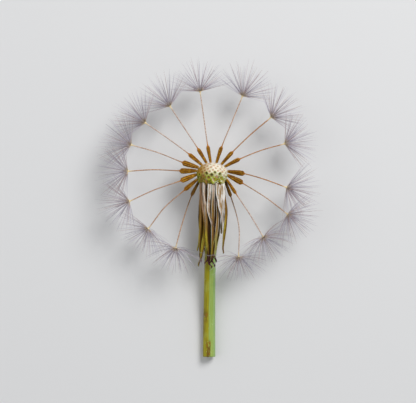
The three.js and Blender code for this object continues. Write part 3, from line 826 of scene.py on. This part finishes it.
def collarRing():
    rings, sides = bract["collarRings"], bract["collarSides"]
    points = []
    for ring in range(rings):
        share = ring / (rings - 1)
        y = mix(bract["collarTop"], bract["collarFoot"], share)
        for turn in turns(sides):
            ridge = bract["ridgeHeight"] * cos(bract["ridges"] * turn)
            ridge += bract["lumpHeight"] * wobble(5 * cos(turn), -5 * sin(turn), y)
            level = alongStops(bract["collarStops"], share) + ridge
            points.append(Vector((-level * sin(turn), y, level * cos(turn))))
    return points, ringFaces(rings, sides)


def makeBracts():
    parts = MeshParts(*bractMarks)
    # the collar under the dome is given painted shade through its inner and dark values
    collar = {"along": 0.0, "across": 0.2, "inner": 0.3, "tone": 0.5, "pale": -0.1, "olive": 0.5}
    parts.add(collarRing(), **collar, warm=1.0, dark=0.5, hooked=0.0)
    for number, row in enumerate(bracts):
        shape, marks = bractStrap(row, number)
        shared = {name: row[name] for name in ("pale", "olive", "warm", "dark")}
        hooked = ease(abs(row["hook"]), *bract["hookDry"])
        parts.add(shape, **marks, **shared, tone=number / len(bracts), hooked=hooked)
    parts.build("bractStraps", bractMaterial(), "bracts")


makeBracts()
print("bracts made")


achene = {
    "length": 3.95,
    "halfWidth": 0.6,
    "flatness": 0.58,  # thickness over width
    "ribs": 7,
    "teeth": 9.0,  # rows of teeth on the ribs below the shoulder
    "toothHeight": 0.13,
    "toothRange": (0.45, 0.75, 0.88, 0.95),  # where teeth begin, are full, fade and end
    "ribLevel": 0.4,  # share of a rib's height that lies inside the outline
    "bodyEnd": 1.06,  # the body's rings go this far, to its length: the last are already beak
    "shoulderRise": 0.2,  # height of the shoulder, to that of the plume
    "rings": 96,
    "beakRings": 44,
    "sides": 56,
    "beakRadius": 0.125,
    "beakRagged": 0.05,
    "beakFlare": (0.25, 0.97),  # how much wider it ends, and from which share of its length
    "rootGap": 0.04,
    # share of the length, then: share of the half width, height of the ribs, roundness
    "widthStops": [
        (0, 0.5), (0.12, 0.67), (0.4, 0.89), (0.66, 1), (0.85, 0.96), (0.915, 0.74), (0.955, 0.4),
        (1, 0.22),
    ],
    "ribStops": [(0, 0.03), (0.15, 0.09), (0.7, 0.12), (0.88, 0.18), (0.95, 0.05), (1, 0)],
    "roundStops": [(0, 0.6), (0.15, 0.35), (0.4, 0.08), (0.9, 0.1), (0.95, 0.6), (1, 1)],
}
acheneMarks = ("body", "beak", "rib", "warmth", "shade")


def seedLine(seed):  # from the dome through the body and along the beak to the plume
    lean = Vector((sin(radians(seed["lean"])), cos(radians(seed["lean"])), 0))
    hub = Vector(seed["hub"])
    root = seedRoot(seed) + lean * achene["rootGap"]
    shoulder = root + lean * achene["length"]
    shoulder.z = achene["shoulderRise"] * hub.z
    run = hub - shoulder
    sideways = Vector((run.y, -run.x, 0)).normalized()
    middle = shoulder.lerp(hub, 0.5) + sideways * seed["bow"]
    return SmoothLine([root, shoulder, middle, hub - run.normalized() * plume["knobFoot"]])


def acheneMaterial():
    shader = Shader("seedCoat", Specular_IOR_Level=0.12)
    body, beak, rib, warmth, shade = (shader.mark(name) for name in acheneMarks)
    clouds = shader.noise(0.9, 2)
    grain = shader.noise(3.2, 3)
    blotches = shader.noise(2.0, 3)
    fine = shader.noise(14.0, 3)
    # painted light and shade: rib crests lighter and grooves darker, mixed with the seed's real
    # mottling
    light = (rib + 1.8 * (blotches - 0.5)).rise(0.15, 0.75)
    coat = shader.blend(light, (0.11, 0.036, 0.001), (0.43, 0.19, 0.003))
    # painted shade: large soft darker patches across the seeds
    coat = shader.blend(clouds.rise(0.47, 0.6) * 0.55, coat, (0.15, 0.05, 0.001))
    # painted highlight: bright golden patches on the rib crests
    coat = shader.blend(blotches.rise(0.52, 0.68) * rib * 0.6, coat, (0.70, 0.42, 0.05))
    coat = shader.blend(grain.rise(0.55, 0.64) * 0.5, coat, (0.12, 0.035, 0.002))
    coat = shader.blend(body.rise(0.84, 0.95), coat, (0.42, 0.16, 0.012))
    coat = shader.blend(body.rise(0.12, 0.0) * 0.5, coat, (0.60, 0.36, 0.08))
    pale = shader.blend(grain.rise(0.4, 0.65), (0.42, 0.29, 0.23), (0.68, 0.55, 0.47))
    orange = shader.blend(grain.rise(0.4, 0.65), (0.30, 0.11, 0.012), (0.52, 0.24, 0.06))
    stalk = shader.blend(warmth, pale, orange)
    stalk = shader.blend(beak.rise(0.16, 0.0) * 0.8, stalk, (0.46, 0.20, 0.03))
    stalk = shader.blend(beak.rise(0.9, 1.0) * 0.8, stalk, (0.86, 0.72, 0.44))
    colour = shader.blend(beak.rise(0.0, 0.02), coat, stalk)
    colour = shader.blend(shade * beak.rise(0.5, 0.1) * 0.85, colour, (0.07, 0.035, 0.004))
    return shader.finish(colour, 0.36 + 0.25 * grain, fine, 0.03, 0.5)


def makeAchene(seed, number, coat):
    line = seedLine(seed)
    sides, bodyRings, beakRings = achene["sides"], achene["rings"], achene["beakRings"]
    bodyShare = achene["length"] * achene["bodyEnd"] / line.length
    begin, full, last, end = achene["toothRange"]
    flare, flareStart = achene["beakFlare"]
    points, body, beak, ribs = [], [], [], []
    places = [(bodyShare * step / bodyRings, step / bodyRings, 0.0) for step in range(bodyRings)]
    for step in range(beakRings):
        share = step / (beakRings - 1)
        places.append((mix(bodyShare, 1, share), 1.0, share))
    for place, bodyPart, beakPart in places:
        ahead = line.ahead(place)
        side, up = squareTo(ahead)
        middle = line.at(place)
        half = achene["halfWidth"] * alongStops(achene["widthStops"], bodyPart)
        if bodyPart == 1:
            half = mix(half, achene["beakRadius"], ease(beakPart, 0, 0.06))
            ragged = achene["beakRagged"] * wobble(60 * beakPart, number * 7)
            half *= 1 + ragged + flare * ease(beakPart, flareStart, 1)
        thick = half * mix(achene["flatness"], 1, alongStops(achene["roundStops"], bodyPart))
        ribHeight = alongStops(achene["ribStops"], bodyPart)
        toothed = ease(bodyPart, begin, full) * ease(bodyPart, end, last)
        for turn in turns(sides):
            crest = 0.5 + 0.5 * cos(achene["ribs"] * turn)
            rib = round(achene["ribs"] * turn / pi)
            tooth = (achene["teeth"] * bodyPart * 2 + 0.5 * rib) % 1
            raised = achene["toothHeight"] * toothed * tooth * crest ** 3
            out = 1 + ribHeight * (crest - achene["ribLevel"]) + raised
            out += 0.02 * wobble(3 * cos(turn), 12 * bodyPart, number)
            spot = Vector((half * out * cos(turn), thick * out * sin(turn)))
            spot.rotate(Matrix.Rotation(radians(seed["roll"]), 2))
            points.append(middle + side * spot.x + up * spot.y)
            body.append(bodyPart)
            beak.append(beakPart)
            ribs.append(crest)
    parts = MeshParts(*acheneMarks)
    shape = (points, ringFaces(len(places), sides))
    parts.add(shape, body=body, beak=beak, rib=ribs, warmth=seed["warmth"], shade=seed["shade"])
    name = f"seed{number + 1:02d}"
    parts.build(name + "Achene", coat, f"seed_{number + 1:02d}_achene")
    return line


plume = {
    "hairs": 76,
    "hairLength": 8.8,
    "shortest": 0.8,  # share of the full length
    "hubOpen": 101,  # degrees from the axis down to which hairs grow
    "bendAt": 0.55,
    "looseness": (7, 40),  # degrees that a hair may stray on the first try and on the last
    "tries": 40,
    "swing": 1.5,  # its stray round the axis, to that away from it
    "lastLength": 0.4,  # share of its length that a hair has on the last try
    "waviness": 0.12,
    "waveTurn": 5,  # radians of the wave along a hair
    "floorSpread": 0.15,  # most that hairs on the surface differ in height
    "hairSteps": 13,
    "hairSides": 4,
    "radiusStops": [(0, 0.066), (0.1, 0.052), (0.65, 0.038), (1, 0.012)],
    "bristleGap": 0.3,
    "bristle": (0.016, 0.055, 0.17),  # half width, height and reach forward
    "bristleScale": (1.15, 0.6),  # their size at the root and at the tip of a hair
    "bristleRoom": 0.2,  # this near the surface they don't point down
    "knobFoot": 0.42,
    "knobRadius": 0.16,
    # distance along the axis, and radius
    "knobStops": [
        (-0.44, 0.125), (-0.3, 0.14), (-0.14, 0.25), (-0.02, 0.31), (0.08, 0.25), (0.14, 0.08),
    ],
    "knobRings": 16,
    "knobSides": 28,
    "knobRibs": 9,
    "knobRibHeight": 0.06,
    "clearTop": -2,  # from here down hairs stay clear of the bracts, and then of the stem
    "bractsEnd": -23.5,
    "bractsReach": 3.7,  # radius round the stem that the bracts need
    "stemReach": 1.75,
}
plumeMarks = ("along", "tint", "knob")


def plumeMaterial():
    shader = Shader("plumeHair", Specular_IOR_Level=0.5)
    along, tint, knob = (shader.mark(name) for name in plumeMarks)
    sheen = shader.streaks(3, along * 9, tint * 60)
    silver = shader.blend(tint.rise(0.0, 0.6), (0.27, 0.24, 0.30), (0.56, 0.52, 0.60))
    rosy = shader.blend(sheen.rise(0.35, 0.65), (0.30, 0.18, 0.17), (0.48, 0.33, 0.31))
    colour = shader.blend(tint.rise(0.68, 0.85) * 0.85, silver, rosy)
    colour = shader.blend(sheen.rise(0.5, 0.7) * 0.3, colour, (0.66, 0.62, 0.70))
    colour = shader.blend(along.rise(0.17, 0.02) * 0.85, colour, (0.78, 0.64, 0.42))
    colour = shader.blend(knob, colour, (0.90, 0.74, 0.40))
    return shader.finish(colour, 0.42 + 0.2 * sheen, sheen, 0.01, 0.4)


def isClear(path):
    for spot in path:
        middle = stemMiddle(spot.y)
        reach = plume["bractsReach"] if spot.y > plume["bractsEnd"] else plume["stemReach"]
        if spot.y < plume["clearTop"] and hypot(spot.x - middle.x, spot.z - middle.z) < reach:
            return False
    return True


def hairPath(seed, axis, outward, fall, chance):
    hub = Vector(seed["hub"])
    root = (axis * cos(fall) + outward * sin(fall)) * plume["knobRadius"]
    crown = mix(seed["crown"], 1, min(1, fall / radians(90)))
    full = plume["hairLength"] * crown * mix(plume["shortest"], 1, chance.random())
    for attempt in range(plume["tries"]):
        share = attempt / plume["tries"]
        loose = mix(*plume["looseness"], share)
        length = full * mix(1, plume["lastLength"], share ** 2)
        angle = fall * seed["open"] / plume["hubOpen"]
        angle += radians(loose * (chance.random() - 0.5))
        swing = radians(plume["swing"] * loose) * (chance.random() - 0.5)
        sideways = Matrix.Rotation(swing, 3, axis) @ outward
        way = axis * cos(angle) + sideways * sin(angle)
        bend = root + way * plume["bendAt"] * length
        tip = (way * length - axis * seed["curl"] * sin(angle)).normalized() * length
        swerve = way.cross(axis).normalized() if way.cross(axis).length > 1e-3 else sideways
        lift = plume["waviness"] * chance.uniform(-1, 1)
        phase = chance.uniform(0, 6)
        path = []
        for step in range(plume["hairSteps"]):
            part = step / (plume["hairSteps"] - 1)
            spot = root.lerp(bend, part).lerp(bend.lerp(tip, part), part) + hub
            spot += swerve * lift * sin(plume["waveTurn"] * part + phase) * part
            spread = plume["floorSpread"] * part * (0.5 + 0.5 * sin(phase))
            spot.z = max(spot.z, floorLevel + head["floorRoom"] + spread)
            path.append(spot)
        if isClear(path):
            break
    return path


def bristles(path, chance):  # small teeth that lean towards the hair's tip
    length = sum((b - a).length for a, b in zip(path, path[1:]))
    count = int(length / plume["bristleGap"])
    steps = len(path) - 1
    shapes = []
    for tooth in range(2, count):
        share = tooth / count
        index = min(int(share * steps), steps - 1)
        ahead = (path[index + 1] - path[index]).normalized()
        foot = path[index].lerp(path[index + 1], share * steps - index)
        side, up = squareTo(ahead, ahead.orthogonal())
        turn = tooth * goldenTurn + chance.uniform(-0.4, 0.4)
        out = side * cos(turn) + up * sin(turn)
        if foot.z < floorLevel + plume["bristleRoom"]:
            out.z = abs(out.z)
        radius = alongStops(plume["radiusStops"], share)
        scale = mix(*plume["bristleScale"], share)
        width, height, reach = (value * scale for value in plume["bristle"])
        shapes.append((spike(foot + out * 0.5 * radius, out, ahead, width, height, reach), share))
    return shapes


def knobShape(hub, axis):
    side, up = squareTo(axis, axis.orthogonal())
    first, last = plume["knobStops"][0][0], plume["knobStops"][-1][0]
    rings, sides = plume["knobRings"], plume["knobSides"]
    points = []
    for ring in range(rings):
        place = mix(first, last, ring / (rings - 1))
        middle = hub + axis * place
        radius = alongStops(plume["knobStops"], place)
        for turn in turns(sides):
            out = radius * (1 + plume["knobRibHeight"] * cos(plume["knobRibs"] * turn))
            points.append(middle + side * out * cos(turn) + up * out * sin(turn))
    return points, ringFaces(rings, sides)


def makePlume(seed, number, axis, hairSkin):
    chance = random.Random(301 + 17 * number)
    hub = Vector(seed["hub"])
    parts = MeshParts(*plumeMarks)
    parts.add(knobShape(hub, axis), along=0.0, tint=0.2, knob=1.0)
    side, up = squareTo(axis, axis.orthogonal())
    start = chance.uniform(0, 2 * pi)
    steps, sides = plume["hairSteps"], plume["hairSides"]
    for hair in range(plume["hairs"]):
        share = (hair + 0.5) / plume["hairs"]
        fall = acos(1 - share * (1 - cos(radians(plume["hubOpen"]))))
        turn = start + hair * goldenTurn
        outward = side * cos(turn) + up * sin(turn)
        path = hairPath(seed, axis, outward, fall, chance)
        tint = chance.random()
        places = [step / (steps - 1) for step in range(steps)]
        radii = [alongStops(plume["radiusStops"], place) for place in places]
        along = [place for place in places for _ in range(sides)]
        parts.add(tube(path, radii, sides), along=along, tint=tint, knob=0.0)
        for shape, place in bristles(path, chance):
            parts.add(shape, along=place, tint=tint, knob=0.0)
    name = f"seed{number + 1:02d}"
    parts.build(name + "Plume", hairSkin, f"seed_{number + 1:02d}_plume")


def makeSeeds():
    coat, hairSkin = acheneMaterial(), plumeMaterial()
    for number, seed in enumerate(seeds):
        line = makeAchene(seed, number, coat)
        makePlume(seed, number, line.ahead(1), hairSkin)


makeSeeds()
print("seeds made")
